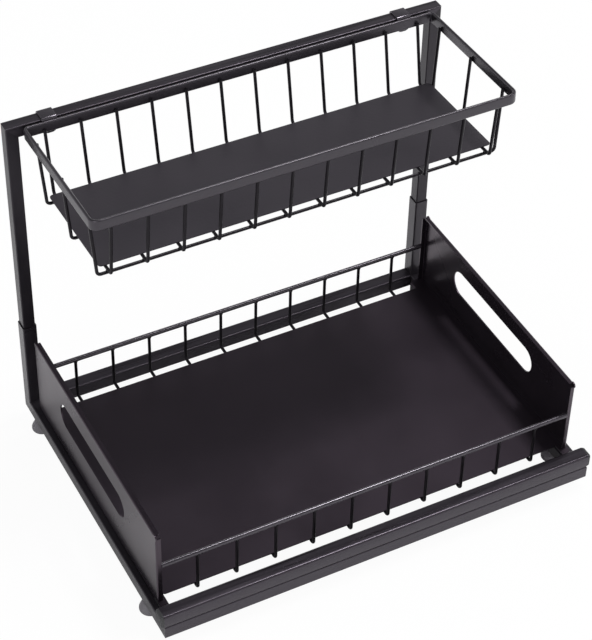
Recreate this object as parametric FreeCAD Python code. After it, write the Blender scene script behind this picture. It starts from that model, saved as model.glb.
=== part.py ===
import FreeCAD, Part
import math
import os

from FreeCAD import Vector

# Two-tier black metal shelf: a square-tube base on suction feet, a pull-out tray between two
# sheet side plates, and a wire basket that hooks over the crossbar of a plug-in upright frame.
# Millimetres. X runs to the right, Y to the back, Z up. The floor is at Z = 0, and X = Y = 0 is
# the middle of the whole footprint.

# Base frame of square tube
frame_width = 400.0
frame_depth = 297.5
base_tube = 12.7
base_wall = 0.7
base_corner = 1.2
sleeve_height = 100.2

# Upright frame that plugs into the two sleeves
frame_height = 313.0
post_clearance = 0.2
post_seat = 0.1
post_wall = 0.8
post_corner = 1.0

# Suction feet, pressed into the side rails
foot_height = 10.5
foot_radius = 9.5
foot_ring = 1.5
foot_hollow = 2.4
foot_rim = 1.7
foot_shoulder = 7.6
foot_shoulder_height = 6.0
foot_collar = 4.4
foot_stem = 2.0
foot_stem_clearance = 0.1
foot_stem_length = 4.0
foot_sides = 24
front_foot_setback = 43.0
rear_foot_setback = 23.5

# Tray: sheet side plates, rods, cross wires and floor
tray_inset = 5.5
tray_front_setback = 25.1
tray_rear_setback = 22.5
tray_height = 92.2
tray_lift = 0.3
sheet_steel = 1.2
sheet_bend = 0.6
top_flange = 4.5
front_flange = 4.5
rear_flange = 5.5
plate_corner = 3.0
slot_length = 132.8
slot_height = 25.4
slot_setback = 154.5
slot_level = 59.0
tray_rod = 4.3
tray_rod_level = 57.1
tray_wire = 2.8
tray_wire_count = 10
tray_wire_end = 41.5
tray_wire_bend = 3.0
tray_floor_steel = 1.0
tray_floor_inset = 12.0
tray_floor_front = 4.7
tray_floor_rear = 12.0
tray_floor_corner = 3.0

# Pull bar on the front of the tray
bar_height = 12.6
bar_wall = 1.0
bar_corner = 1.2
bar_gap = 0.4
plug_overhang = 3.0
plug_round = 2.6
plug_depth = 10.0
plug_clearance = 0.1

# Runners under the side plates
runner_ledge = 18.0
runner_ledge_front = 46.0
runner_tab = 8.0
runner_bend = 0.6
glide_front = 14.0
glide_length = 18.0
glide_gap = 0.1
bracket_length = 26.0
bracket_leg = 12.0

# Rollers at the back of the tray and the tracks that hold them
tray_travel = 170.0
roller_radius = 4.7
roller_width = 4.0
roller_gap = 0.1
roller_side_gap = 0.1
axle_radius = 1.5
axle_clearance = 0.05
axle_head = 2.8
axle_head_length = 1.2
axle_rivet = 2.1
axle_rivet_length = 0.4
track_steel = 1.0
track_bend = 0.5
track_side_gap = 0.5
track_bracket_gap = 0.3
track_rear_setback = 31.5
stop_gap = 0.3
stop_reach = 5.0

# Wires have flat sides and stepped bends, because there are many of them
wire_sides = 8
wire_bend_steps = 2

# Basket: flat rim, cross wires, long wires, floor sheet and two hooks
rim_side_gap = 12.5
rim_depth = 139.5
rim_height = 10.0
rim_steel = 3.0
rim_front_corner = 9.0
rim_rear_corner = 5.0
rim_below_crossbar_top = 0.0
basket_shift = 1.7
basket_tilt = 2.1
basket_wire = 2.8
basket_wire_below_rim_top = 1.5
basket_wire_bend = 3.6
basket_drop = 63.2
basket_wire_count = 12
basket_wire_end = 17.3
front_taper = 6.8
rear_taper = 8.5
side_taper = 4.0
long_wire_count = 3
long_wire_setback = 7.0
basket_sheet_steel = 0.8
basket_sheet_side_gap = 2.2
basket_sheet_shift = 0.9
basket_sheet_front = 10.3
basket_sheet_rear = 3.4
basket_sheet_corner = 3.0
hook_width = 13.0
hook_steel = 1.5
hook_bend = 0.8
hook_clearance = 0.2
hook_inset = 25.9
hook_shift = -0.4
hook_front_leg = 14.9
hook_rear_leg = 9.5
hook_round = 5.0

# Places that follow from those sizes
side = -frame_width / 2.0
post_tube = base_tube - 2.0 * (base_wall + post_clearance)
post_inset = base_wall + post_clearance
hook_overhang = hook_clearance + hook_steel - post_inset
front = -(frame_depth + max(hook_overhang, 0.0)) / 2.0
back = front + frame_depth
rail_top = foot_height + base_tube
crossbar_top = foot_height + frame_height
crossbar_front = back - post_inset - post_tube

tray_wire_level = rail_top + tray_lift + tray_wire / 2.0
tray_floor_level = tray_wire_level + tray_wire / 2.0
runner_under = tray_floor_level - sheet_steel
tray_front = front + tray_front_setback
tray_back = back - tray_rear_setback
tray_top = foot_height + tray_height
rod_front = tray_front + sheet_steel / 2.0 + 0.2
rod_back = tray_back - sheet_steel / 2.0 - 0.2
rod_level = foot_height + tray_rod_level

bar_bottom = rail_top + bar_gap
bar_back = front + base_tube

track_inside = 2.0 * (roller_radius + roller_gap)
track_level = rail_top - track_steel - track_inside / 2.0 - 0.1
track_face = side + base_tube
track_back = back - track_rear_setback
roller_rest = track_back - track_steel - stop_gap - roller_radius
track_front = roller_rest - tray_travel - roller_radius - stop_gap - track_steel
rivet_start = track_face + track_steel + track_side_gap
roller_start = rivet_start + axle_rivet_length + roller_side_gap
roller_end = roller_start + roller_width
leg_start = roller_end + roller_side_gap
leg_end = leg_start + sheet_steel
track_depth = leg_start - track_bracket_gap - track_face

rim_back = crossbar_front - hook_clearance - hook_steel
rim_front = rim_back - rim_depth
rim_top = crossbar_top - rim_below_crossbar_top
rim_side = frame_width / 2.0 - rim_side_gap
hook_side = rim_side - hook_inset
cross_level = rim_top - basket_drop
long_level = cross_level - basket_wire
wire_top = rim_top - basket_wire_below_rim_top
wire_inset = rim_steel + basket_wire / 2.0
floor_front = rim_front + wire_inset + front_taper
floor_back = rim_back - wire_inset - rear_taper
floor_side = rim_side - wire_inset - side_taper


def rounded_edges(points, radii, closed=True):
    """Straight runs joined by tangent arcs, one radius for each corner."""
    count = len(points)
    starts = []
    ends = []
    middles = []
    for index, corner in enumerate(points):
        radius = radii[index]
        if radius <= 0.0:
            starts.append(corner)
            ends.append(corner)
            middles.append(None)
            continue
        arriving = (corner - points[index - 1]).normalize()
        leaving = (points[(index + 1) % count] - corner).normalize()
        half_turn = arriving.getAngle(leaving) / 2.0
        reach = radius * math.tan(half_turn)
        inward = (leaving - arriving).normalize()
        starts.append(corner - arriving * reach)
        ends.append(corner + leaving * reach)
        middles.append(corner + inward * (radius / math.cos(half_turn) - radius))
    edges = []
    for index in range(count):
        if middles[index] is not None:
            edges.append(Part.Arc(starts[index], middles[index], ends[index]).toShape())
        following = (index + 1) % count
        if following == 0 and not closed:
            break
        if (starts[following] - ends[index]).Length > 1e-6:
            edges.append(Part.LineSegment(ends[index], starts[following]).toShape())
    return edges


def loop_face(points, radii):
    return Part.Face(Part.Wire(rounded_edges(points, radii)))


def in_plane(axis, level):
    """Turns a pair of numbers into a point of the plane that stands square to the axis."""
    if axis == "x":
        return lambda a, b: Vector(level, a, b)
    if axis == "y":
        return lambda a, b: Vector(a, level, b)
    return lambda a, b: Vector(a, b, level)


def along(axis, length):
    return Vector(*[length if name == axis else 0.0 for name in "xyz"])


def slab(axis, level, length, corners, radii):
    """A flat outline, square to the axis, drawn out along it."""
    place = in_plane(axis, level)
    face = loop_face([place(a, b) for a, b in corners], radii)
    return face.extrude(along(axis, length))


def rounded_bar(axis, level, length, low, high, radius):
    corners = [(low[0], low[1]), (high[0], low[1]), (high[0], high[1]), (low[0], high[1])]
    return slab(axis, level, length, corners, [radius] * 4)


def square_tube(axis, level, length, low, high, wall, corner):
    """Tube of rectangular section between two opposite corners of that section."""
    outer = rounded_bar(axis, level, length, low, high, corner)
    inner_low = (low[0] + wall, low[1] + wall)
    inner_high = (high[0] - wall, high[1] - wall)
    return outer.cut(rounded_bar(axis, level, length, inner_low, inner_high, 0.0))


def shifted_lines(points, offset):
    """Corners of the line that runs beside an open path at one distance from it."""
    normals = []
    for start, end in zip(points, points[1:]):
        run = math.hypot(end[0] - start[0], end[1] - start[1])
        normals.append(((start[1] - end[1]) / run, (end[0] - start[0]) / run))
    shifted = []
    for index, point in enumerate(points):
        before = normals[max(index - 1, 0)]
        after = normals[min(index, len(normals) - 1)]
        cosine = before[0] * after[0] + before[1] * after[1]
        reach = offset / (1.0 + cosine)
        shifted.append((point[0] + reach * (before[0] + after[0]),
                        point[1] + reach * (before[1] + after[1])))
    return shifted


def bent_strip(axis, level, length, points, steel, inner_bends):
    """Sheet of one thickness folded along an open path, drawn out along the axis.

    The path is the middle of the sheet, and each corner has its inner bend radius.
    """
    left = shifted_lines(points, steel / 2.0)
    right = shifted_lines(points, -steel / 2.0)
    left_radii = [0.0]
    right_radii = [0.0]
    for index, inner in enumerate(inner_bends):
        first, corner, last = points[index], points[index + 1], points[index + 2]
        turn = ((corner[0] - first[0]) * (last[1] - corner[1])
                - (corner[1] - first[1]) * (last[0] - corner[0]))
        left_radii.append(inner if turn > 0.0 else inner + steel)
        right_radii.append(inner + steel if turn > 0.0 else inner)
    left_radii.append(0.0)
    right_radii.append(0.0)
    corners = left + right[::-1]
    radii = left_radii + right_radii[::-1]
    return slab(axis, level, length, corners, radii)


def round_bar(start, end, radius):
    span = end - start
    return Part.makeCylinder(radius, span.Length, start, span)


def bent_wire(points, bend, diameter):
    """Wire bent along a flat path, with stepped bends and a section of the round wire's area."""
    radii = [0.0] + [bend] * (len(points) - 2) + [0.0]
    path = [points[0]]
    for edge in rounded_edges(points, radii, closed=False):
        steps = 1 if isinstance(edge.Curve, Part.Line) else wire_bend_steps
        path += edge.discretize(steps + 1)[1:]
    leaving = (points[1] - points[0]).normalize()
    across = leaving.cross(points[2] - points[1]).normalize()
    outward = leaving.cross(across)
    turn = 2.0 * math.pi / wire_sides
    reach = diameter / 2.0 * math.sqrt(turn / math.sin(turn))
    section = []
    for index in range(wire_sides + 1):
        angle = (index + 0.5) * turn
        section.append(points[0] + across * (reach * math.cos(angle))
                       + outward * (reach * math.sin(angle)))
    return Part.makePolygon(path).makePipeShell([Part.makePolygon(section)], True, False, 1)


def faceted_turning(place, outline, sides):
    """A turned piece with flat sides, from a half outline of radii and heights."""
    rings = []
    for radius, height in outline:
        angles = [2.0 * math.pi * index / sides for index in range(sides)]
        rings.append([place + Vector(radius * math.cos(angle), radius * math.sin(angle), height)
                      for angle in angles])
    faces = []
    for low, high in zip(rings, rings[1:]):
        for index in range(sides):
            corners = [low[index - 1], low[index], high[index], high[index - 1]]
            corners = [corner for position, corner in enumerate(corners)
                       if not corner.isEqual(corners[position - 1], 1e-6)]
            faces.append(Part.Face(Part.makePolygon(corners + corners[:1])))
    return Part.Solid(Part.Shell(faces)).removeSplitter()


def cut_beyond(shape, point, direction):
    """Takes away what lies past a plane, as a mitre saw does."""
    size = 4.0 * frame_width
    block = Part.makeBox(size, size, size, Vector(-size / 2.0, -size / 2.0, 0.0))
    block.Placement = FreeCAD.Placement(point, FreeCAD.Rotation(Vector(0, 0, 1), direction))
    return shape.cut(block)


def joined(first, *others):
    return first.fuse(list(others)).removeSplitter()


def to_right(shape):
    """The right-hand twin of a left-hand piece."""
    return shape.mirror(Vector(0, 0, 0), Vector(1, 0, 0))


def evenly(first, last, count):
    if count < 2:
        return [(first + last) / 2.0]
    step = (last - first) / (count - 1)
    return [first + index * step for index in range(count)]


def foot_places():
    """Left-hand feet stand under the middle of the side rail."""
    middle = side + base_tube / 2.0
    return [Vector(middle, front + front_foot_setback, 0.0),
            Vector(middle, back - rear_foot_setback, 0.0)]


# Base frame

def left_side_rail():
    low = (side, foot_height)
    high = (side + base_tube, rail_top)
    rail = square_tube("y", front, frame_depth, low, high, base_wall, base_corner)
    rail = cut_beyond(rail, Vector(side, front, 0.0), Vector(1, -1, 0))
    rail = cut_beyond(rail, Vector(0.0, back, foot_height), Vector(0, 1, 1))
    hole = foot_stem + foot_stem_clearance
    for place in foot_places():
        base = Vector(place.x, place.y, foot_height - base_wall)
        rail = rail.cut(Part.makeCylinder(hole, 3.0 * base_wall, base))
    return rail


def left_sleeve():
    low = (side, back - base_tube)
    high = (side + base_tube, back)
    sleeve = square_tube("z", foot_height, sleeve_height, low, high, base_wall, base_corner)
    return cut_beyond(sleeve, Vector(0.0, back, foot_height), Vector(0, -1, -1))


def front_cross_tube():
    low = (front, foot_height)
    high = (front + base_tube, rail_top)
    tube = square_tube("x", side, frame_width, low, high, base_wall, base_corner)
    tube = cut_beyond(tube, Vector(side, front, 0.0), Vector(-1, 1, 0))
    return cut_beyond(tube, Vector(-side, front, 0.0), Vector(1, 1, 0))


def rear_cross_tube():
    low = (back - base_tube, foot_height)
    high = (back, rail_top)
    length = frame_width - 2.0 * base_tube
    return square_tube("x", side + base_tube, length, low, high, base_wall, base_corner)


def suction_foot(place):
    """One moulding: a ring on the floor, a hollow, a dome, and a stem pressed into the rail."""
    stem_top = foot_height + foot_stem_length
    return faceted_turning(place, [
        (0.0, foot_hollow), (foot_radius - foot_ring, 0.0), (foot_radius, 0.0),
        (foot_radius, foot_rim), (foot_shoulder, foot_shoulder_height),
        (foot_collar, foot_height), (foot_stem, foot_height), (foot_stem, stem_top),
        (0.0, stem_top)], foot_sides)


def left_track():
    """C channel on the inner face of the rail, with a stop bent across each end."""
    middle = track_steel / 2.0
    flange = track_inside / 2.0 + middle
    open_edge = track_face + track_depth
    points = [(open_edge, track_level + flange), (track_face + middle, track_level + flange),
              (track_face + middle, track_level - flange), (open_edge, track_level - flange)]
    length = track_back - track_front
    channel = bent_strip("y", track_front, length, points, track_steel, [track_bend] * 2)
    half = roller_radius / 2.0
    stops = []
    for y in (track_front, track_back - track_steel):
        stops.append(Part.makeBox(stop_reach, track_steel, 2.0 * half,
                                  Vector(track_face, y, track_level - half)))
    return joined(channel, *stops)


def left_glide():
    """Pad on the rail that carries the runner at the front."""
    low = (side + tray_inset, front + glide_front)
    high = (side + base_tube - base_corner, front + glide_front + glide_length)
    height = runner_under - rail_top - glide_gap
    return rounded_bar("z", rail_top, height, low, high, 0.0)


# Tray

def left_side_plate():
    """Upright sheet with flanges turned in at the top, front and back, and a grip slot."""
    outside = side + tray_inset
    middle = outside + sheet_steel / 2.0
    fold = sheet_bend + sheet_steel
    height = tray_top - tray_floor_level
    web = Part.makeBox(sheet_steel, tray_back - tray_front - 2.0 * fold, height - fold,
                       Vector(outside, tray_front + fold, tray_floor_level))
    corner_level = tray_top - plate_corner
    top_points = [(middle, tray_top - plate_corner), (middle, tray_top - sheet_steel / 2.0),
                  (outside + top_flange, tray_top - sheet_steel / 2.0)]
    top = bent_strip("y", tray_front + plate_corner, tray_back - tray_front - 2.0 * plate_corner,
                     top_points, sheet_steel, [sheet_bend])
    pieces = [top]
    ends = ((tray_front, 1.0, front_flange), (tray_back, -1.0, rear_flange))
    for y, inward, flange in ends:
        line = y + inward * sheet_steel / 2.0
        points = [(middle, y + inward * plate_corner), (middle, line), (outside + flange, line)]
        pieces.append(bent_strip("z", tray_floor_level, corner_level - tray_floor_level, points,
                                 sheet_steel, [sheet_bend]))
        centre = Vector(outside, y + inward * plate_corner, corner_level)
        disc = Part.makeCylinder(plate_corner, sheet_steel, centre, Vector(1, 0, 0))
        pieces.append(disc)
    plate = joined(web, *pieces)
    half = slot_height / 2.0
    level = foot_height + slot_level
    slot_front = front + slot_setback - slot_length / 2.0
    slot = rounded_bar("x", outside - sheet_steel, 3.0 * sheet_steel, (slot_front, level - half),
                       (slot_front + slot_length, level + half), half - 0.001)
    return plate.cut(slot)


def left_runner():
    """Folded strip under the side plate: a tab to the pull bar and a bracket to the roller."""
    outside = side + tray_inset
    narrow = base_tube - tray_inset
    middle = tray_floor_level - sheet_steel / 2.0
    tab_line = bar_back + sheet_steel / 2.0
    tab_top = runner_under + runner_tab
    strip = bent_strip("x", outside, narrow,
                       [(tab_line, tab_top), (tab_line, middle), (tray_back, middle)],
                       sheet_steel, [runner_bend])
    ledge = Part.makeBox(runner_ledge - tray_inset, tray_back - front - runner_ledge_front, sheet_steel,
                         Vector(outside, front + runner_ledge_front, runner_under))
    leg_line = (leg_start + leg_end) / 2.0
    leg_bottom = track_level - bracket_leg / 2.0
    bracket = bent_strip("y", roller_rest - bracket_length / 2.0, bracket_length,
                         [(outside + narrow, middle), (leg_line, middle), (leg_line, leg_bottom)],
                         sheet_steel, [runner_bend])
    runner = joined(strip, ledge, bracket)
    axle_hole = Part.makeCylinder(axle_radius, 3.0 * sheet_steel,
                                  Vector(leg_start - sheet_steel, roller_rest, track_level),
                                  Vector(1, 0, 0))
    return runner.cut(axle_hole)


def front_pull_bar():
    """Tube across the front, welded to the tabs of the two runners."""
    low = (front, bar_bottom)
    high = (bar_back, bar_bottom + bar_height)
    return square_tube("x", side, frame_width, low, high, bar_wall, bar_corner)


def left_bar_plug():
    """Moulded cap, rounded at its outer corners, with a stem inside the bar."""
    cap = slab("z", bar_bottom, bar_height,
               [(side - plug_overhang, front), (side, front), (side, bar_back),
                (side - plug_overhang, bar_back)],
               [plug_round, 0.0, 0.0, plug_round])
    inset = bar_wall + plug_clearance
    low = (front + inset, bar_bottom + inset)
    high = (bar_back - inset, bar_bottom + bar_height - inset)
    return joined(cap, rounded_bar("x", side, plug_depth, low, high, 0.0))


def tray_rod_bar(y, flange):
    reach = -side - tray_inset - flange
    return round_bar(Vector(-reach, y, rod_level), Vector(reach, y, rod_level), tray_rod / 2.0)


def tray_cross_wires():
    """U-shaped wires that hang from the front rod, pass under the floor and rise to the rear rod."""
    top = rod_level - tray_rod / 2.0
    wires = []
    for x in evenly(side + tray_wire_end, -side - tray_wire_end, tray_wire_count):
        points = [Vector(x, rod_front, top), Vector(x, rod_front, tray_wire_level),
                  Vector(x, rod_back, tray_wire_level), Vector(x, rod_back, top)]
        wires.append(bent_wire(points, tray_wire_bend, tray_wire))
    return Part.makeCompound(wires)


def tray_floor_sheet():
    low = (side + tray_floor_inset, tray_front + tray_floor_front)
    high = (-side - tray_floor_inset, tray_back - tray_floor_rear)
    return rounded_bar("z", tray_floor_level, tray_floor_steel, low, high, tray_floor_corner)


def left_roller():
    start = Vector(roller_start, roller_rest, track_level)
    wheel = Part.makeCylinder(roller_radius, roller_width, start, Vector(1, 0, 0))
    bore = Part.makeCylinder(axle_radius + axle_clearance, 3.0 * roller_width,
                             start - Vector(roller_width, 0, 0), Vector(1, 0, 0))
    return wheel.cut(bore)


def left_roller_axle():
    """Rivet: a head that keeps the roller on, the journal, and a head inside the bracket."""
    steps = [(rivet_start, axle_rivet), (rivet_start + axle_rivet_length, axle_radius),
             (leg_end, axle_head), (leg_end + axle_head_length, None)]
    shape = None
    for (start, radius), (end, _) in zip(steps, steps[1:]):
        piece = Part.makeCylinder(radius, end - start, Vector(start, roller_rest, track_level),
                                  Vector(1, 0, 0))
        shape = piece if shape is None else shape.fuse(piece)
    return shape.removeSplitter()


# Upright frame

def mitre_corner():
    return Vector(side + post_inset, 0.0, crossbar_top)


def left_post():
    foot = foot_height + base_wall + post_seat
    low = (side + post_inset, crossbar_front)
    high = (low[0] + post_tube, crossbar_front + post_tube)
    post = square_tube("z", foot, crossbar_top - foot, low, high, post_wall, post_corner)
    return cut_beyond(post, mitre_corner(), Vector(1, 0, 1))


def crossbar():
    start = side + post_inset
    low = (crossbar_front, crossbar_top - post_tube)
    high = (crossbar_front + post_tube, crossbar_top)
    bar = square_tube("x", start, -2.0 * start, low, high, post_wall, post_corner)
    bar = cut_beyond(bar, mitre_corner(), Vector(-1, 0, -1))
    return cut_beyond(bar, Vector(-start, 0.0, crossbar_top), Vector(1, 0, -1))


# Basket

def as_hung(shape):
    """The welded basket leans back a little on its hooks, about the rim's top back edge."""
    shape.translate(Vector(basket_shift, 0, 0))
    shape.rotate(Vector(0.0, rim_back, rim_top), Vector(1, 0, 0), -basket_tilt)
    return shape


def rim_loop(inset):
    corners = [(-rim_side + inset, rim_front + inset), (rim_side - inset, rim_front + inset),
               (rim_side - inset, rim_back - inset), (-rim_side + inset, rim_back - inset)]
    radii = [rim_front_corner - inset, rim_front_corner - inset,
             rim_rear_corner - inset, rim_rear_corner - inset]
    return slab("z", rim_top - rim_height, rim_height, corners, radii)


def basket_rim():
    return as_hung(rim_loop(0.0).cut(rim_loop(rim_steel)))


def basket_cross_wires():
    """U-shaped wires welded inside the rim at the front and the back."""
    wires = []
    for x in evenly(-rim_side + basket_wire_end, rim_side - basket_wire_end, basket_wire_count):
        points = [Vector(x, rim_front + wire_inset, wire_top), Vector(x, floor_front, cross_level),
                  Vector(x, floor_back, cross_level), Vector(x, rim_back - wire_inset, wire_top)]
        wires.append(bent_wire(points, basket_wire_bend, basket_wire))
    return as_hung(Part.makeCompound(wires))


def basket_long_wires():
    """U-shaped wires that run from side to side under the cross wires."""
    top_side = rim_side - wire_inset
    wires = []
    for y in evenly(floor_front + long_wire_setback, floor_back - long_wire_setback, long_wire_count):
        points = [Vector(-top_side, y, wire_top), Vector(-floor_side, y, long_level),
                  Vector(floor_side, y, long_level), Vector(top_side, y, wire_top)]
        wires.append(bent_wire(points, basket_wire_bend, basket_wire))
    return as_hung(Part.makeCompound(wires))


def basket_floor_sheet():
    """Flat sheet with rounded corners, welded on the cross wires."""
    level = cross_level + basket_wire / 2.0
    line = floor_side - basket_sheet_side_gap
    low = (basket_sheet_shift - line, floor_front + basket_sheet_front)
    high = (basket_sheet_shift + line, floor_back - basket_sheet_rear)
    sheet = rounded_bar("z", level, basket_sheet_steel, low, high, basket_sheet_corner)
    return as_hung(sheet)


def hook(middle):
    """Strip folded over the crossbar and welded to the back of the rim, with a rounded end."""
    above = crossbar_top + hook_steel / 2.0
    front_line = crossbar_front - hook_clearance - hook_steel / 2.0
    back_line = crossbar_front + post_tube + hook_clearance + hook_steel / 2.0
    top = crossbar_top + hook_steel
    points = [(front_line, top - hook_front_leg), (front_line, above),
              (back_line, above), (back_line, top - hook_rear_leg)]
    left = middle - hook_width / 2.0
    strip = bent_strip("x", left, hook_width, points, hook_steel, [hook_bend] * 2)
    end = top - hook_front_leg
    outline = [(left, end), (left + hook_width, end), (left + hook_width, end + 2.0 * hook_round),
               (left, end + 2.0 * hook_round)]
    tip = slab("y", front_line - hook_steel, 2.0 * hook_steel, outline,
               [hook_round, hook_round, 0.0, 0.0])
    block = Part.makeBox(hook_width, 2.0 * hook_steel, hook_round,
                         Vector(left, front_line - hook_steel, end))
    return strip.cut(block.cut(tip))


def save(name, shape):
    shape.exportStep("parts/" + name + ".step")


def save_pair(name, shape):
    """A left-hand piece and its mirrored right-hand twin."""
    save("left_" + name, shape)
    save("right_" + name, to_right(shape))


os.makedirs("parts", exist_ok=True)

save("front_cross_tube", front_cross_tube())
save("rear_cross_tube", rear_cross_tube())
save_pair("side_rail", left_side_rail())
save_pair("sleeve", left_sleeve())
for which, foot_place in zip(("front_foot", "rear_foot"), foot_places()):
    save_pair(which, suction_foot(foot_place))
save_pair("track", left_track())
save_pair("glide", left_glide())

save_pair("side_plate", left_side_plate())
save_pair("runner", left_runner())
save_pair("bar_plug", left_bar_plug())
save("front_pull_bar", front_pull_bar())
save("tray_front_rod", tray_rod_bar(rod_front, front_flange))
save("tray_rear_rod", tray_rod_bar(rod_back, rear_flange))
save("tray_cross_wires", tray_cross_wires())
save("tray_floor_sheet", tray_floor_sheet())
save_pair("roller_axle", left_roller_axle())
save_pair("roller", left_roller())

save_pair("post", left_post())
save("crossbar", crossbar())

save("basket_rim", basket_rim())
save("basket_cross_wires", basket_cross_wires())
save("basket_long_wires", basket_long_wires())
save("basket_floor_sheet", basket_floor_sheet())
save("left_hook", hook(hook_shift - hook_side))
save("right_hook", hook(hook_shift + hook_side))
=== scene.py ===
# %% [markdown]
# # A two-tier black metal shelf
# The shelf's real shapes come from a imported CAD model, which is loaded here as a fixed frame.
# This lesson dresses it: it paints the metal, redraws the pieces that are round and bent more
# smoothly than the CAD model has them, and sets up a pale studio. Everything is in metres, with
# X to the right, Y to the back and Z up, and the floor is at Z = 0.

import bpy
import numpy as np
from mathutils import Matrix, Vector


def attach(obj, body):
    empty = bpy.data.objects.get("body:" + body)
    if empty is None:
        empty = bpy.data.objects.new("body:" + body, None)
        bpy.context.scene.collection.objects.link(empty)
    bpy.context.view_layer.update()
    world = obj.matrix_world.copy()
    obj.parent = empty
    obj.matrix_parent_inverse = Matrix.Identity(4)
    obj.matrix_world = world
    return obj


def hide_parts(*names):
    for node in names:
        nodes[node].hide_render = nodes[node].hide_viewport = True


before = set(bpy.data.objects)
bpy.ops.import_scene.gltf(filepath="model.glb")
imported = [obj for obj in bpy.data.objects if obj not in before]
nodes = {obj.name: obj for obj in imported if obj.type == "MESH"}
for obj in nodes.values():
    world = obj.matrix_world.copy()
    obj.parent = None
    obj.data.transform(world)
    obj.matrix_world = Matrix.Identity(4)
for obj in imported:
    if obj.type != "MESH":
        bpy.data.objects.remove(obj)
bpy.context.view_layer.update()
scene = bpy.context.scene
MM = 0.001

# %% [markdown]
# ## The camera
# The photograph was taken from the front left, from well above the shelf. The camera stands where
# a fit of the shelf's corners to the photograph puts it. Three angles turn it: up, about its own
# line of sight, and to the side. Its three axes are then written as a matrix: the picture's
# right, the picture's up, and the way from the subject back to the camera.

# %% Place the camera
turn_up, turn_roll, turn_side = -0.739417, 0.024885, -0.493870
ahead = np.array([-np.sin(turn_side) * np.cos(turn_up),
                  np.cos(turn_side) * np.cos(turn_up),
                  np.sin(turn_up)])
level_right = np.array([np.cos(turn_side), np.sin(turn_side), 0.0])
level_up = np.cross(level_right, ahead)
picture_right = np.cos(turn_roll) * level_right + np.sin(turn_roll) * level_up
picture_up = np.cos(turn_roll) * level_up - np.sin(turn_roll) * level_right
place = np.eye(4)
place[:3, 0], place[:3, 1], place[:3, 2] = picture_right, picture_up, -ahead
place[:3, 3] = (-0.618882, -1.131394, 1.329781)

# The lens is given by its focal length in the photograph's own pixels.
lens = bpy.data.cameras.new("photo_camera")
lens.sensor_fit = "AUTO"
lens.sensor_width = 36.0
focal_pixels, longer_side = 2095.70, 640.0
lens.lens = lens.sensor_width * focal_pixels / longer_side
lens.shift_x, lens.shift_y = 0.002548, -0.001540
lens.clip_start, lens.clip_end = 0.05, 60.0
camera = bpy.data.objects.new("photo_camera", lens)
camera.matrix_world = Matrix(place.tolist())
scene.collection.objects.link(camera)
scene.camera = camera
print("camera lens", round(lens.lens, 2), "mm")

# %% [markdown]
# ## Helpers for materials
# No real finish is quite even, so every material here starts as a Principled shader whose colour
# and roughness follow a noise field. The nodes could be joined by hand in the shader editor. A few
# small functions do it instead, because all the materials need the same wiring: one makes the
# field, and three turn it into a number, a colour or a bump. The noise reads Object coordinates,
# which are metres here, so a grain has the same size on each piece.

# %% Shader helpers
def shader_nodes(name):
    """A new material with only a Principled shader and its output."""
    material = bpy.data.materials.new(name)
    material.use_nodes = True
    tree = material.node_tree
    return material, tree, tree.nodes["Principled BSDF"]


def noise(tree, scale, detail, stretch=(1.0, 1.0, 1.0)):
    """Noise on Object coordinates, stretched by a Mapping node. Returns its factor socket."""
    where = tree.nodes.new("ShaderNodeTexCoord")
    mapping = tree.nodes.new("ShaderNodeMapping")
    mapping.inputs["Scale"].default_value = stretch
    field = tree.nodes.new("ShaderNodeTexNoise")
    field.inputs["Scale"].default_value = scale
    field.inputs["Detail"].default_value = detail
    tree.links.new(where.outputs["Object"], mapping.inputs["Vector"])
    tree.links.new(mapping.outputs["Vector"], field.inputs["Vector"])
    return field.outputs["Fac"]


NOISE_LOW, NOISE_HIGH = 0.3, 0.7    # nearly all values of a noise field lie between these


def ranged(tree, socket, low, high):
    """The noise's usual values spread over low to high."""
    spread = tree.nodes.new("ShaderNodeMapRange")
    spread.inputs["From Min"].default_value = NOISE_LOW
    spread.inputs["From Max"].default_value = NOISE_HIGH
    spread.inputs["To Min"].default_value = low
    spread.inputs["To Max"].default_value = high
    tree.links.new(socket, spread.inputs["Value"])
    return spread.outputs["Result"]


def tinted(tree, socket, dark, light):
    """A colour that runs from dark to light with the noise."""
    ramp = tree.nodes.new("ShaderNodeValToRGB")
    ramp.color_ramp.elements[0].position = NOISE_LOW
    ramp.color_ramp.elements[0].color = (*dark, 1.0)
    ramp.color_ramp.elements[1].position = NOISE_HIGH
    ramp.color_ramp.elements[1].color = (*light, 1.0)
    tree.links.new(socket, ramp.inputs["Fac"])
    return ramp.outputs["Color"]


def raised(tree, socket, height, below=None):
    """A bump of that height in metres, on top of another bump if one is given."""
    bump = tree.nodes.new("ShaderNodeBump")
    bump.inputs["Strength"].default_value = 1.0
    bump.inputs["Distance"].default_value = height
    tree.links.new(socket, bump.inputs["Height"])
    if below is not None:
        tree.links.new(below, bump.inputs["Normal"])
    return bump.outputs["Normal"]


print("a noise field counts from", NOISE_LOW, "to", NOISE_HIGH)

# %% [markdown]
# ## Powder coat
# Dry black powder is sprayed on the steel and baked, which leaves a thin satin plastic skin. It is
# nearly black with a faint purple tint, its gloss changes a little from place to place, and a fine
# orange-peel texture breaks up what it mirrors. One broad noise field moves its colour and its
# roughness together, and two finer ones, turned into bumps, make the orange peel. Bumps are enough
# for it, because its waves are far too low to change a piece's outline.

# %% Powder coat material
PEEL_SCALE, FINE_PEEL_SCALE = 330.0, 900.0    # cells per metre


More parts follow.
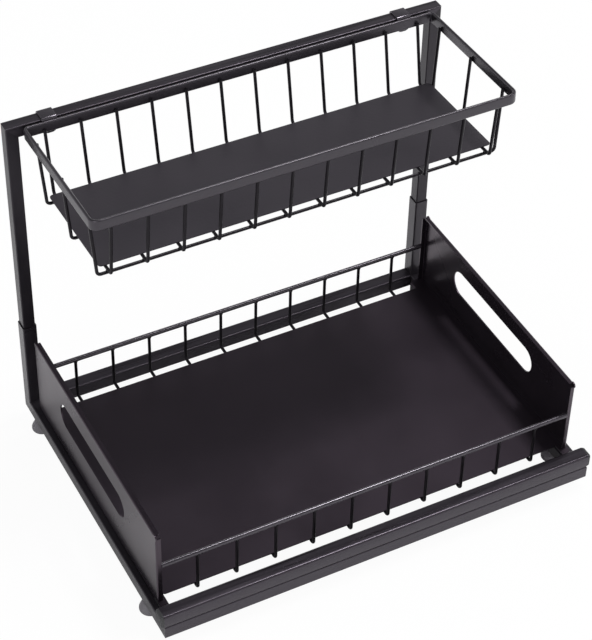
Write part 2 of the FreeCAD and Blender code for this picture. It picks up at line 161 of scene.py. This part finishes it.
def powder_coat(name, dark, light, rough, peel, gloss=0.5, gloss_tint=(0.96, 0.89, 1.0),
                grain=14.0, stretch=(1.0, 1.0, 1.0)):
    """Baked powder.

    Its colour runs from dark to light and its roughness over a range, in patches of a size given
    by grain and stretch. The orange peel is peel metres high, with a finer one on top of it.
    """
    material, tree, skin = shader_nodes(name)
    patches = noise(tree, grain, 3.0, stretch)
    fine_peel = noise(tree, FINE_PEEL_SCALE, 2.0)
    tree.links.new(tinted(tree, patches, dark, light), skin.inputs["Base Color"])
    tree.links.new(ranged(tree, patches, *rough), skin.inputs["Roughness"])
    coarse_peel = raised(tree, noise(tree, PEEL_SCALE, 1.0), peel)
    tree.links.new(raised(tree, fine_peel, 0.4 * peel, coarse_peel), skin.inputs["Normal"])
    skin.inputs["Specular IOR Level"].default_value = gloss
    skin.inputs["Specular Tint"].default_value = (*gloss_tint, 1.0)
    return material


print("orange peel has cells of", round(1.0 / PEEL_SCALE / MM, 1), "and",
      round(1.0 / FINE_PEEL_SCALE / MM, 1), "mm")

# %% [markdown]
# ## One coat for each kind of steel
# The photograph shows the same powder with a different gloss on each kind of piece. Rods and hooks
# shine most, the side plates mirror sharply, the tray's sheet is calm and the basket's is coarse.
# Tubes that lie along X show the faint streaks of their drawing, so their noise is stretched
# along X. The thin wires' coat is made the darkest: its colour is painted shade, for the shade
# and dark reflections the wires sit in.

# %% Mix the coats
tube_coat = powder_coat("tube_coat", (0.009, 0.0078, 0.0098), (0.014, 0.0122, 0.0152),
                        (0.26, 0.38), 0.00005, 0.6)
post_coat = powder_coat("post_coat", (0.009, 0.0078, 0.0098), (0.014, 0.0122, 0.0152),
                        (0.28, 0.40), 0.00005, 0.42)
rim_coat = powder_coat("rim_coat", (0.008, 0.0069, 0.0088), (0.013, 0.0113, 0.0142),
                       (0.27, 0.36), 0.00003, 0.80)
rod_coat = powder_coat("rod_coat", (0.012, 0.0105, 0.013), (0.019, 0.0168, 0.0206),
                       (0.19, 0.28), 0.00003, 1.0)
drawn_coat = powder_coat("drawn_coat", (0.0025, 0.0020, 0.0029), (0.0105, 0.0091, 0.0116),
                         (0.22, 0.42), 0.00005, 0.72, (0.95, 0.84, 1.0),
                         grain=260.0, stretch=(0.03, 1.0, 1.0))
sheet_coat = powder_coat("sheet_coat", (0.0051, 0.0042, 0.0056), (0.0078, 0.0065, 0.0086),
                         (0.36, 0.46), 0.00004, 0.55, (1.0, 0.78, 1.0))
plate_coat = powder_coat("plate_coat", (0.0060, 0.0049, 0.0065), (0.0092, 0.0077, 0.0100),
                         (0.24, 0.32), 0.00003, 0.66, (1.0, 0.76, 0.97))
coarse_coat = powder_coat("coarse_coat", (0.0150, 0.0130, 0.0170), (0.0208, 0.0183, 0.0230),
                          (0.46, 0.56), 0.00007)
# The wires' colour is darker than the other coats' as painted shade, not as a darker powder.
wire_painted_shade_coat = powder_coat("wire_painted_shade_coat", (0.0032, 0.0027, 0.0037), (0.0062, 0.0053, 0.0069),
                        (0.26, 0.36), 0.00003, 0.22)
print("powder coats:", tube_coat.name, post_coat.name, rim_coat.name, rod_coat.name,
      drawn_coat.name, sheet_coat.name, plate_coat.name, coarse_coat.name, wire_painted_shade_coat.name)

# %% [markdown]
# ## Plastic, rubber and zinc
# The small pieces are black moulded plugs and glide pads, suction feet of smoky rubber, nylon
# rollers, and bare zinc-plated rivets and tracks. The rubber lets some light through, so a part of
# it is Transmission. The zinc is metallic, with a long faint grain from rolling.

# %% Small-part materials
def moulded_plastic(name, dark, light, rough):
    """Slightly mottled plastic with a soft mould texture, 0.03 mm high."""
    material, tree, skin = shader_nodes(name)
    patches = noise(tree, 60.0, 2.0)
    tree.links.new(tinted(tree, patches, dark, light), skin.inputs["Base Color"])
    tree.links.new(ranged(tree, patches, *rough), skin.inputs["Roughness"])
    mould_texture = raised(tree, noise(tree, 700.0, 2.0), 0.00003)
    tree.links.new(mould_texture, skin.inputs["Normal"])
    return material


plug_plastic = moulded_plastic("plug_plastic", (0.018, 0.018, 0.020), (0.028, 0.028, 0.030),
                               (0.40, 0.50))
nylon = moulded_plastic("nylon", (0.52, 0.51, 0.48), (0.60, 0.59, 0.56), (0.38, 0.48))
suction_rubber = moulded_plastic("suction_rubber", (0.16, 0.15, 0.17), (0.22, 0.21, 0.23),
                                 (0.24, 0.34))
rubber_skin = suction_rubber.node_tree.nodes["Principled BSDF"]
rubber_skin.inputs["Transmission Weight"].default_value = 0.35
rubber_skin.inputs["IOR"].default_value = 1.42

zinc, zinc_tree, zinc_skin = shader_nodes("zinc_steel")
zinc_grain = noise(zinc_tree, 400.0, 2.0, (1.0, 0.05, 1.0))
zinc_tree.links.new(tinted(zinc_tree, zinc_grain, (0.42, 0.43, 0.45), (0.54, 0.55, 0.56)),
                    zinc_skin.inputs["Base Color"])
zinc_tree.links.new(ranged(zinc_tree, zinc_grain, 0.28, 0.42), zinc_skin.inputs["Roughness"])
zinc_skin.inputs["Metallic"].default_value = 1.0
print("small parts:", plug_plastic.name, nylon.name, suction_rubber.name, zinc.name)

# %% [markdown]
# ## Paint the CAD nodes
# A CAD node whose shape is right stays as it is and only gets a material. One small table says
# which: each line has a word from the nodes' names and the finish of the pieces so named.

# %% Give every CAD node its finish
finishes = {
    "side_plate": plate_coat, "runner": sheet_coat,
    "floor_sheet": sheet_coat, "basket_floor_sheet": coarse_coat,
    "cross_tube": drawn_coat, "crossbar": drawn_coat, "pull_bar": drawn_coat,
    "rail": tube_coat, "sleeve": tube_coat, "post": post_coat,
    "rim": rim_coat, "hook": rod_coat, "rod": rod_coat, "wires": wire_painted_shade_coat,
    "plug": plug_plastic, "glide": plug_plastic, "foot": suction_rubber,
    "roller": nylon, "track": zinc, "axle": zinc,
}


def finish_of(name):
    """The last line of the table whose word is in the node's name decides its finish."""
    return [finish for word, finish in finishes.items() if word in name][-1]


for name, node in nodes.items():
    node.data.materials.clear()
    node.data.materials.append(finish_of(name))
print("painted", len(nodes), "CAD nodes")

# %% [markdown]
# ## How the new pieces are made
# Each redrawn piece is made of grids of points with two parameters: one runs along a path, the
# other round a profile. A bevelled curve could do this too, but a flat profile may twist in it at
# the bends, and a computed grid can also change its width on the way. A grid is worked out as one
# numpy array. Its rows are joined to a skin, and open ends are closed with a fan, so that every
# skin is closed and its faces point outward. All points are given from the middle of the shelf's
# footprint, where every new object has its origin.

# %% Skin a grid of points
def skin_of(grid, closed_path):
    """Vertices and faces of one swept grid, shape (path, round, 3), round closed.

    Face (i, j) joins points (i, j), (i, j+1), (i+1, j+1) and (i+1, j), with j taken modulo the
    profile's length, and i too where the path is closed. An open path gets a middle point at
    each end, and a fan of triangles round it.
    """
    rows, columns = grid.shape[:2]
    last = rows if closed_path else rows - 1
    i, j = np.meshgrid(np.arange(last), np.arange(columns), indexing="ij")
    across, onward = (j + 1) % columns, (i + 1) % rows
    quads = np.stack([i * columns + j, i * columns + across,
                      onward * columns + across, onward * columns + j], axis=-1).reshape(-1, 4)
    points = grid.reshape(-1, 3)
    if closed_path:
        return points, quads, np.zeros((0, 3), int)
    k = np.arange(columns)
    start, end = len(points), len(points) + 1
    final = (rows - 1) * columns
    fans = np.concatenate([
        np.stack([np.full(columns, start), (k + 1) % columns, k], axis=-1),
        np.stack([np.full(columns, end), final + k, final + (k + 1) % columns], axis=-1)])
    return np.vstack([points, grid[0].mean(0), grid[-1].mean(0)]), quads, fans


SHARP_ANGLE = np.radians(50.0)


def piece_from(name, grids, material, body, closed_path=False, replaces=()):
    """One object from several grids, shaded smooth except at its caps' edges."""
    points, faces, count = [], [], 0
    for grid in grids:
        new_points, quads, fans = skin_of(grid, closed_path)
        points.append(new_points)
        faces += (quads + count).tolist() + (fans + count).tolist()
        count += len(new_points)
    mesh = bpy.data.meshes.new(name)
    mesh.from_pydata(np.vstack(points).tolist(), [], faces)
    mesh.polygons.foreach_set("use_smooth", np.ones(len(faces), bool))
    mesh.set_sharp_from_angle(angle=SHARP_ANGLE)
    mesh.materials.append(material)
    piece = bpy.data.objects.new(name, mesh)
    scene.collection.objects.link(piece)
    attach(piece, body)
    if replaces:
        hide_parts(*replaces)
    print(name, len(mesh.vertices), "points,", len(faces), "faces")


# %% [markdown]
# ## Paths
# Wire is bent round a former, so its path is straight runs joined by arcs. A path is computed from
# its corners: at each corner the arc starts and ends at a distance of radius times the tangent of
# half the turn. This way a bend keeps its radius when a corner is moved.

# %% Rounded paths
def rounded_path(corners, radius, steps=14, closed=False):
    """Points along straight runs with a tangent arc at each corner.

    An arc's point at angle a from its start is centre + radius * (cos(a) * out + sin(a) * along),
    where out points from the arc's centre to its start, and along is the run's direction there.
    """
    corners = np.asarray(corners, float)
    radius = np.broadcast_to(radius, len(corners))
    arriving = corners - np.roll(corners, 1, axis=0)
    arriving /= np.linalg.norm(arriving, axis=1, keepdims=True)
    leaving = np.roll(arriving, -1, axis=0)
    bends = range(len(corners)) if closed else range(1, len(corners) - 1)
    runs = [] if closed else [corners[:1]]
    for k in bends:
        turn = np.arccos(np.clip(arriving[k] @ leaving[k], -1.0, 1.0))
        inward = leaving[k] - arriving[k] * (arriving[k] @ leaving[k])
        inward /= np.linalg.norm(inward)
        start = corners[k] - arriving[k] * radius[k] * np.tan(turn / 2.0)
        a = np.linspace(0.0, turn, steps)[:, None]
        runs.append(start + inward * radius[k]
                    + radius[k] * (np.sin(a) * arriving[k] - np.cos(a) * inward))
    if not closed:
        runs.append(corners[-1:])
    return np.vstack(runs)


print("a wire's bend of 3 mm has", len(rounded_path([(0, 0, 0), (0, 0, -1), (0, 1, -1)], 0.003)),
      "points")

# %% [markdown]
# ## Profiles
# Wire is round, and bar and tube are rectangles whose edges are never quite sharp. Both are closed
# lines of points, set square to the path at each of its points. Real edges catch the light because
# they are round, so the rounding is a part of the profile and not left to a bevel.

# %% Sweep a profile along a path
def swept(path, profile, upright, closed=False):
    """Grid of a flat profile carried along a flat path.

    A profile point (u, v) lands at path + u * side + v * upright, where upright stands square to
    the path's plane and side is upright crossed with the path's direction.
    """
    before = np.roll(path, 1, axis=0)
    after = np.roll(path, -1, axis=0)
    if not closed:
        before[0], after[-1] = path[0], path[-1]
    along = after - before
    along /= np.linalg.norm(along, axis=1, keepdims=True)
    upright = np.asarray(upright, float)
    side = np.cross(upright, along)
    return (path[:, None, :] + profile[None, :, :1] * side[:, None, :]
            + profile[None, :, 1:] * upright)


def round_profile(radius, sides=20):
    """Circle: (radius cos t, radius sin t)."""
    t = np.linspace(0.0, 2.0 * np.pi, sides, endpoint=False)
    return radius * np.stack([np.cos(t), np.sin(t)], axis=-1)


def soft_rectangle(width, height, corner, steps=6):
    """Rectangle with quarter-circle corners, counter-clockwise, centred on zero.

    corner is one radius, or four: upper right, upper left, lower left and lower right.
    """
    t = np.linspace(0.0, np.pi / 2.0, steps)
    quarters = []
    signs = ((1, 1), (-1, 1), (-1, -1), (1, -1))
    for k, ((x, y), r) in enumerate(zip(signs, np.broadcast_to(corner, 4))):
        a = t + k * np.pi / 2.0
        quarters.append(np.stack([x * (width / 2.0 - r) + r * np.cos(a),
                                  y * (height / 2.0 - r) + r * np.sin(a)], axis=-1))
    return np.vstack(quarters)


print("a wire's section has", len(round_profile(1.0)), "points, a bar's",
      len(soft_rectangle(2.0, 1.0, 0.1)))

# %% [markdown]
# ## Tray wires
# Ten wires hang from the tray's front rod, pass under the floor sheet and rise to the rear rod.
# The CAD model draws them with eight sides, to keep its faces few, so they are drawn round here.
# All ten are the same U, so one grid is worked out and then shifted to each place along X.

# %% Sizes of the tray
front, back = -149.15 * MM, 148.35 * MM
rail_top = 23.2 * MM
tray_wire = 2.8 * MM
tray_wire_level = rail_top + 1.7 * MM
tray_wire_bend = 3.0 * MM
rod_front, rod_back = front + 25.9 * MM, back - 23.3 * MM
rod_level, rod_thick = 67.6 * MM, 4.3 * MM
tray_wire_x = np.linspace(-158.5, 158.5, 10) * MM
print("tray wires", round((tray_wire_x[1] - tray_wire_x[0]) / MM, 1), "mm apart")

# %% Draw the tray wires
rod_under = rod_level - rod_thick / 2.0
tray_wire_top = rod_under + 0.3 * MM
tray_u = rounded_path([(0.0, rod_front, tray_wire_top), (0.0, rod_front, tray_wire_level),
                       (0.0, rod_back, tray_wire_level), (0.0, rod_back, tray_wire_top)],
                      tray_wire_bend)
tray_u_grid = swept(tray_u, round_profile(tray_wire / 2.0), (1.0, 0.0, 0.0))
piece_from("tray_wires_round", [tray_u_grid + (x, 0.0, 0.0) for x in tray_wire_x],
           wire_painted_shade_coat, "tray", replaces=["tray_cross_wires"])

# %% [markdown]
# ## Weld beads
# Each wire is joined to the rod by a spot of molten metal, which the powder then covers. A small
# flattened ball, computed from two angles like a globe, stands round each joint. It runs into the
# wire and the rod, which looks like a weld from outside and needs no cutting of either.

# %% Draw the weld beads of the tray
def bead(centre, radii, rows=9, columns=14):
    """Flattened ball: centre + (a sin p cos q, b sin p sin q, c cos p), p from pole to pole.

    The radii a, b and c are in millimetres. The first and last row stop a little short of the
    poles, where the fans close the ball.
    """
    p, q = np.meshgrid(np.linspace(0.02, np.pi - 0.02, rows),
                       np.linspace(0.0, 2.0 * np.pi, columns, endpoint=False), indexing="ij")
    globe = np.stack([np.sin(p) * np.cos(q), np.sin(p) * np.sin(q), np.cos(p)], axis=-1)
    return np.asarray(centre) + globe[::-1] * (np.asarray(radii) * MM)


tray_beads = [bead((x, y, rod_under - 0.2 * MM), (2.1, 1.9, 1.3))
              for x in tray_wire_x for y in (rod_front, rod_back)]
piece_from("tray_weld_beads", tray_beads, wire_painted_shade_coat, "tray")

# %% [markdown]
# ## The basket's rim
# The rim is one flat bar, 10 mm high and 3 mm thick, bent into a ring. Its long edges are rounded,
# because a rolled bar has no sharp corners, and they catch the light as a thin bright line. The
# whole basket leans back a little on its hooks, so it is drawn level and then tipped.

# %% Sizes of the basket
rim_half, rim_back = 187.5 * MM, 134.85 * MM
rim_front = rim_back - 139.5 * MM
rim_top, rim_high, rim_thick = 323.5 * MM, 10.0 * MM, 3.0 * MM
rim_edge = 1.45 * MM
rim_corners = np.array([8.0, 8.0, 5.0, 5.0]) * MM
basket_wire, basket_wire_bend = 2.8 * MM, 3.6 * MM
cross_level = rim_top - 63.2 * MM
wire_top = rim_top - 5.5 * MM
wire_inset = rim_thick + basket_wire / 2.0
floor_front, floor_back = rim_front + wire_inset + 6.8 * MM, rim_back - wire_inset - 8.5 * MM
floor_half = rim_half - wire_inset - 4.0 * MM
lean = np.radians(-2.1)
basket_shift = np.array([1.7 * MM, 0.0, 0.0])


def as_hung(grid):
    """Shifts the level basket to the right, then tips it about the rim's top back edge.

    Tipping by an angle t turns (y, z), taken from that edge, into (y cos t - z sin t,
    y sin t + z cos t).
    """
    moved = grid + basket_shift
    hinge = np.array([0.0, rim_back, rim_top])
    arm = moved - hinge
    tipped = np.stack([arm[..., 0],
                       arm[..., 1] * np.cos(lean) - arm[..., 2] * np.sin(lean),
                       arm[..., 1] * np.sin(lean) + arm[..., 2] * np.cos(lean)], axis=-1)
    return tipped + hinge


print("the basket leans by", round(np.degrees(lean), 2), "degrees")

# %% Draw the rim
half_thick = rim_thick / 2.0
rim_side = rim_half - half_thick
rim_middle = rim_top - rim_high / 2.0
rim_line = rounded_path([(-rim_side, rim_front + half_thick, rim_middle),
                         (rim_side, rim_front + half_thick, rim_middle),
                         (rim_side, rim_back - half_thick, rim_middle),
                         (-rim_side, rim_back - half_thick, rim_middle)],
                        rim_corners - half_thick, steps=20, closed=True)
rim_profile = soft_rectangle(rim_thick, rim_high, rim_edge, steps=10)
rim_grid = swept(rim_line, rim_profile, (0.0, 0.0, 1.0), closed=True)
piece_from("basket_rim_bar", [as_hung(rim_grid)], rim_coat, "basket",
           closed_path=True, replaces=["basket_rim"])

# %% [markdown]
# ## Basket wires
# Twelve U-shaped wires run from front to back and narrow downwards, and three long ones run from
# side to side under them. Each ends half-way up the inner face of the rim, where the photograph
# shows it stop, and a weld bead holds it there.

# %% Draw the basket wires
first_wire = rim_half - 17.3 * MM
basket_wire_x = np.linspace(-first_wire, first_wire, 12)
basket_u = rounded_path([(0.0, rim_front + wire_inset, wire_top), (0.0, floor_front, cross_level),
                         (0.0, floor_back, cross_level), (0.0, rim_back - wire_inset, wire_top)],
                        basket_wire_bend)
basket_u_grid = swept(basket_u, round_profile(basket_wire / 2.0), (1.0, 0.0, 0.0))
piece_from("basket_cross_wires_round",
           [as_hung(basket_u_grid + (x, 0.0, 0.0)) for x in basket_wire_x],
           wire_painted_shade_coat, "basket", replaces=["basket_cross_wires"])

long_level = cross_level - basket_wire
long_half = rim_half - wire_inset
long_setback = 7.0 * MM
long_y = np.linspace(floor_front + long_setback, floor_back - long_setback, 3)
long_u = rounded_path([(-long_half, 0.0, wire_top), (-floor_half, 0.0, long_level),
                       (floor_half, 0.0, long_level), (long_half, 0.0, wire_top)],
                      basket_wire_bend)
long_u_grid = swept(long_u, round_profile(basket_wire / 2.0), (0.0, 1.0, 0.0))
piece_from("basket_long_wires_round", [as_hung(long_u_grid + (0.0, y, 0.0)) for y in long_y],
           wire_painted_shade_coat, "basket", replaces=["basket_long_wires"])

# %% Draw the weld beads of the basket
bead_level = wire_top - 2.0 * MM
bead_inset = wire_inset - 0.2 * MM
rim_beads = [bead((x, y, bead_level), (1.7, 1.4, 1.7))
             for x in basket_wire_x for y in (rim_front + bead_inset, rim_back - bead_inset)]
rim_beads += [bead((x, y, bead_level), (1.4, 1.7, 1.7))
              for x in (bead_inset - rim_half, rim_half - bead_inset) for y in long_y]
crossing_beads = [bead((x, y, cross_level - basket_wire / 2.0), (1.7, 1.7, 0.9))
                  for x in basket_wire_x for y in long_y]
piece_from("basket_weld_beads", [as_hung(grid) for grid in rim_beads + crossing_beads],
           wire_painted_shade_coat, "basket")

# %% [markdown]
# ## Hooks
# Each hook is a flat strip folded twice over the crossbar, with a rounded tip at the front, and
# it is folded round enough for light to run along the fold. The strip's profile is carried along
# the folded path, and near the tip each row is made narrower, so that the two corners become
# quarter circles. At a height d above the tip, the half width is the strip's own, less r, plus
# the root of r squared less (r - d) squared.

# %% Draw the hooks
crossbar_front, crossbar_thick = back - 11.8 * MM, 10.9 * MM
hook_steel, hook_wide, hook_gap, hook_fold = 1.5 * MM, 13.0 * MM, 0.2 * MM, 1.9 * MM
front_leg, rear_leg, tip_round, tip_steps = 14.9 * MM, 9.5 * MM, 5.0 * MM, 9
hook_top = rim_top + hook_steel
hook_front = crossbar_front - hook_gap - hook_steel / 2.0
hook_back = crossbar_front + crossbar_thick + hook_gap + hook_steel / 2.0
hook_line = rounded_path([(0.0, hook_front, hook_top - front_leg),
                          (0.0, hook_front, hook_top - hook_steel / 2.0),
                          (0.0, hook_back, hook_top - hook_steel / 2.0),
                          (0.0, hook_back, hook_top - rear_leg)], hook_fold, steps=12)
rise = tip_round * (1.0 - np.cos(np.linspace(0.0, np.pi / 2.0, tip_steps)))
tip_rows = np.stack([0.0 * rise, np.full(tip_steps, hook_front), hook_line[0, 2] + rise], axis=-1)
hook_line = np.vstack([tip_rows, hook_line[1:]])
hook_grid = swept(hook_line, soft_rectangle(hook_steel, hook_wide, 0.4 * MM), (1.0, 0.0, 0.0))
tip_half = hook_wide / 2.0 - tip_round + np.sqrt(tip_round ** 2 - (tip_round - rise) ** 2)
hook_grid[:tip_steps, :, 0] *= (tip_half / (hook_wide / 2.0))[:, None]
for name, x in (("left_hook", -162.0), ("right_hook", 161.2)):
    piece_from(name + "_strip", [hook_grid + (x * MM, 0.0, 0.0)], rod_coat, "basket",
               replaces=[name])

# %% [markdown]
# ## Pull bar
# The bar is a tube with soft upper edges, along which light runs as a bright line. Its lower edges
# are tighter, so that only a thin line parts it from the tube below. A moulded plug with a rounded
# end closes it on each side. The plug's rows shrink along a quarter circle of radius r: at angle
# a they lie r sin a further out and are smaller by r (1 - cos a) all round.

# %% Draw the pull bar and its plugs
bar_half, bar_deep, bar_high, bar_gap = 200.0 * MM, 12.7 * MM, 12.6 * MM, 0.4 * MM
bar_corners = np.array([1.8, 1.8, 0.7, 0.7]) * MM
bar_middle = np.array([0.0, front + bar_deep / 2.0, rail_top + bar_gap + bar_high / 2.0])
bar_line = np.array([(-bar_half, 0.0, 0.0), (bar_half, 0.0, 0.0)]) + bar_middle
bar_grid = swept(bar_line, soft_rectangle(bar_deep, bar_high, bar_corners), (0.0, 0.0, 1.0))
piece_from("pull_bar_tube", [bar_grid], drawn_coat, "tray",
           replaces=["front_pull_bar"])
plug_turn = np.linspace(0.0, np.pi / 2.0, 9)
plug_overhang, plug_round, plug_softer, least_corner = np.array([3.0, 2.6, 0.9, 0.2]) * MM
plug_x = plug_overhang - plug_round + plug_round * np.sin(plug_turn)
plug_x = bar_half + np.concatenate([[0.0], plug_x])
plug_inset = np.concatenate([[0.0], plug_round * (1.0 - np.cos(plug_turn))])
plug_rows = [soft_rectangle(bar_deep - 2.0 * inset, bar_high - 2.0 * inset,
                            np.maximum(bar_corners + plug_softer - inset, least_corner))
             for inset in plug_inset]
for name, hand in (("left_bar_plug", -1.0), ("right_bar_plug", 1.0)):
    cap = np.stack([np.column_stack([np.full(len(row), hand * x), hand * row[:, 0], row[:, 1]])
                    for x, row in zip(plug_x, plug_rows)])
    cap[:, :, 1:] += bar_middle[1:]
    piece_from(name + "_cap", [cap], plug_plastic, "tray", replaces=[name])

# %% [markdown]
# ## Suction feet
# Each foot is one soft moulding: a thin lip on the floor, a dome and a short neck. It is a surface
# of revolution: an outline, given as pairs of radius and height, is carried round the upright
# axis. The outline starts in the hollow underneath and ends at the top of the neck. Its corners
# get small arcs, because moulded rubber has no sharp edge.

# %% Draw the four feet
def outline_curve(corners, soft):
    """Half outline with small arcs at its corners, all in the plane of radius and height."""
    flat = np.array([(radius, 0.0, height) for radius, height in corners])
    return rounded_path(flat, soft, steps=5)[:, [0, 2]]


foot_corners = [(0.05, 2.4), (3.6, 2.1), (6.4, 1.2), (8.0, 0.0), (9.5, 0.0), (9.5, 1.5),
                (8.9, 3.2), (7.6, 6.0), (6.2, 8.3), (4.4, 9.4), (4.4, 10.45), (0.05, 10.45)]
foot_outline = outline_curve(np.array(foot_corners) * MM, 0.25 * MM)


def turned(centre, outline, columns=48):
    """Surface of revolution: centre + (r cos q, r sin q, h) for each outline point (r, h)."""
    q = np.linspace(0.0, 2.0 * np.pi, columns, endpoint=False)
    radius, height = outline[:, :1], outline[:, 1:]
    return np.asarray(centre) + np.stack([radius * np.cos(q), radius * np.sin(q),
                                          height + 0.0 * q], axis=-1)


foot_side, foot_front, foot_rear = 193.65, -106.15, 124.85
foot_places = {
    "left_front_foot": (-foot_side, foot_front), "left_rear_foot": (-foot_side, foot_rear),
    "right_front_foot": (foot_side, foot_front), "right_rear_foot": (foot_side, foot_rear),
}
for name, (x, y) in foot_places.items():
    piece_from(name + "_cup", [turned((x * MM, y * MM, 0.0), foot_outline)],
               suction_rubber, "base", replaces=[name])

# %% [markdown]
# ## The floor
# The floor is a large pale disc, a fifth of a millimetre below the feet. The camera, and rays that
# come through something clear, see nearly all of it as plain white, and the small rest is paint in
# the room's light, so a faint shadow stays. Mirrored rays see mostly the paint with its shadows,
# because the black metal in the photograph mirrors a dark floor under the shelf.

# %% Lay the floor
floor_radius, floor_sides, floor_level = 9.0, 96, -0.0002
floor_angle = np.linspace(0.0, 2.0 * np.pi, floor_sides, endpoint=False)
floor_ring = np.stack([floor_radius * np.cos(floor_angle), floor_radius * np.sin(floor_angle),
                       np.full(floor_sides, floor_level)], axis=-1)
floor_mesh = bpy.data.meshes.new("studio_floor")
floor_mesh.from_pydata(floor_ring.tolist(), [], [list(range(floor_sides))])
floor = bpy.data.objects.new("studio_floor", floor_mesh)
scene.collection.objects.link(floor)

floor_paint, floor_tree, floor_skin = shader_nodes("floor_paint")
floor_skin.inputs["Base Color"].default_value = (0.86, 0.86, 0.87, 1.0)
floor_skin.inputs["Roughness"].default_value = 0.9
floor_skin.inputs["Specular IOR Level"].default_value = 0.0
print("floor laid, radius", floor_radius, "m")

# %% Let each kind of ray see its share of plain white
def math_of(tree, operation, first, second):
    """One Math node on a socket and a second socket or number."""
    node = tree.nodes.new("ShaderNodeMath")
    node.operation = operation
    tree.links.new(first, node.inputs[0])
    if isinstance(second, float):
        node.inputs[1].default_value = second
    else:
        tree.links.new(second, node.inputs[1])
    return node.outputs[0]


def seen_directly(tree, camera_share=1.0, mirror_share=1.0):
    """A factor: camera_share for camera and transmission rays, mirror_share for glossy rays,
    and 0 for all other rays."""
    path = tree.nodes.new("ShaderNodeLightPath")
    looks = math_of(tree, "MAXIMUM", path.outputs["Is Camera Ray"],
                    path.outputs["Is Transmission Ray"])
    looks = math_of(tree, "MULTIPLY", looks, camera_share)
    mirrors = math_of(tree, "MULTIPLY", path.outputs["Is Glossy Ray"], mirror_share)
    return math_of(tree, "MAXIMUM", looks, mirrors)


floor_glow = floor_tree.nodes.new("ShaderNodeEmission")
floor_glow.inputs["Color"].default_value = (1.0, 1.0, 1.0, 1.0)
floor_mix = floor_tree.nodes.new("ShaderNodeMixShader")
floor_tree.links.new(seen_directly(floor_tree, camera_share=0.95, mirror_share=0.06),
                     floor_mix.inputs["Fac"])
floor_tree.links.new(floor_skin.outputs["BSDF"], floor_mix.inputs[1])
floor_tree.links.new(floor_glow.outputs["Emission"], floor_mix.inputs[2])
floor_tree.links.new(floor_mix.outputs["Shader"],
                     floor_tree.nodes["Material Output"].inputs["Surface"])
floor_mesh.materials.append(floor_paint)
print("floor shader nodes:", len(floor_tree.nodes))

# %% [markdown]
# ## The room's light
# Black satin metal shows mostly what it mirrors. Upright faces mirror the floor, rounded edges the
# bright walls, and flat tops the ceiling, which is darker. So the world is white up to a little
# above the horizon, and falls to a dim grey overhead. Diffuse rays get a plain, even level.

# %% Grade the world
world = bpy.data.worlds.new("studio")
scene.world = world
world.use_nodes = True
sky = world.node_tree
sky.nodes.clear()
direction = sky.nodes.new("ShaderNodeTexCoord")
parts = sky.nodes.new("ShaderNodeSeparateXYZ")
sky.links.new(direction.outputs["Generated"], parts.inputs["Vector"])
height_ramp = sky.nodes.new("ShaderNodeValToRGB")
height_ramp.color_ramp.elements[0].position = 0.15
height_ramp.color_ramp.elements[0].color = (1.0, 1.0, 1.0, 1.0)
height_ramp.color_ramp.elements[1].position = 0.60
height_ramp.color_ramp.elements[1].color = (0.22, 0.22, 0.23, 1.0)
sky.links.new(parts.outputs["Z"], height_ramp.inputs["Fac"])
seen_sky = sky.nodes.new("ShaderNodeBackground")
seen_sky.inputs["Strength"].default_value = 1.0
sky.links.new(height_ramp.outputs["Color"], seen_sky.inputs["Color"])
plain_sky = sky.nodes.new("ShaderNodeBackground")
plain_sky.inputs["Color"].default_value = (1.0, 1.0, 1.0, 1.0)
plain_sky.inputs["Strength"].default_value = 0.55
sky_mix = sky.nodes.new("ShaderNodeMixShader")
sky.links.new(seen_directly(sky), sky_mix.inputs["Fac"])
sky.links.new(plain_sky.outputs["Background"], sky_mix.inputs[1])
sky.links.new(seen_sky.outputs["Background"], sky_mix.inputs[2])
sky_out = sky.nodes.new("ShaderNodeOutputWorld")
sky.links.new(sky_mix.outputs["Shader"], sky_out.inputs["Surface"])
print("world graded")

# %% [markdown]
# ## Lamps
# Three soft boxes light the shelf. The key stands at the front left, and a weaker fill at the
# right. The third hangs where the upper front edges of the tubes, the rim and the front rod mirror
# it to the camera, as thin bright lines. They are wide, so that no reflection has a hard edge.

# %% Hang the soft boxes
SHELF_MIDDLE = Vector((0.0, 0.0, 0.15))


def soft_box(name, where, width, height, power):
    """A rectangular lamp, in metres and watts, that faces the middle of the shelf."""
    light = bpy.data.lights.new(name, "AREA")
    light.shape = "RECTANGLE"
    light.size, light.size_y = width, height
    light.energy = power
    lamp = bpy.data.objects.new(name, light)
    lamp.location = where
    lamp.rotation_euler = (SHELF_MIDDLE - lamp.location).to_track_quat("-Z", "Y").to_euler()
    scene.collection.objects.link(lamp)
    print(name, "at", where)


soft_box("key_box", (-2.2, -1.9, 1.9), 1.6, 1.2, 27.0)
soft_box("top_box", (0.88, 0.10, 2.50), 0.6, 0.5, 32.0)
soft_box("fill_box", (2.4, -1.2, 1.6), 1.6, 1.2, 12.0)

# %% [markdown]
# ## Finish
# The colours are shown as they are written.

# %% Show the colours unchanged
scene.view_settings.view_transform = "Standard"
